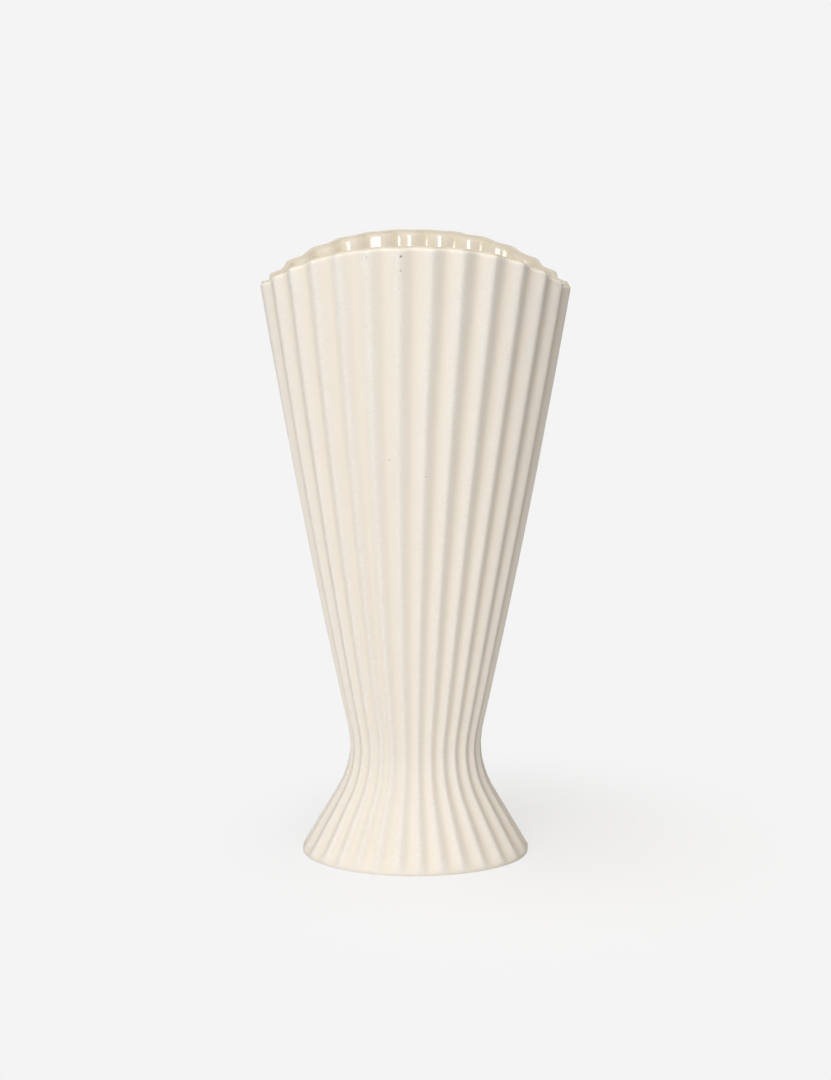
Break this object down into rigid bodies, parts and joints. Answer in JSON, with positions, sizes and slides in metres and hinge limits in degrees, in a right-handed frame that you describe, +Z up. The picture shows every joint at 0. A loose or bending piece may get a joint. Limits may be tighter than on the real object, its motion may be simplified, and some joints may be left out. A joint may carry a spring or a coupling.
{
  "type": "fan vase",
  "caption": "Free-standing fluted oval stoneware vase with an arched fan rim, a narrow waist and a flared hollow foot, matt outside and glazed inside.",
  "frame": {"origin": "centre of the foot, on the surface that the vase stands on", "axes": "+Z up, +X across the wide side of the fan, +Y from the front to the back"},
  "size_m": [0.16, 0.1182, 0.33],
  "materials": {
    "matte_stoneware": "matt, finely grained",
    "fired_slip": "matt",
    "clear_glaze": "gloss"
  },
  "bodies": {
    "root": {"fluted_cup": "matte_stoneware", "pedestal_foot": "matte_stoneware", "luting_slip": "fired_slip", "interior_glaze": "clear_glaze"}
  },
  "joints": []
}
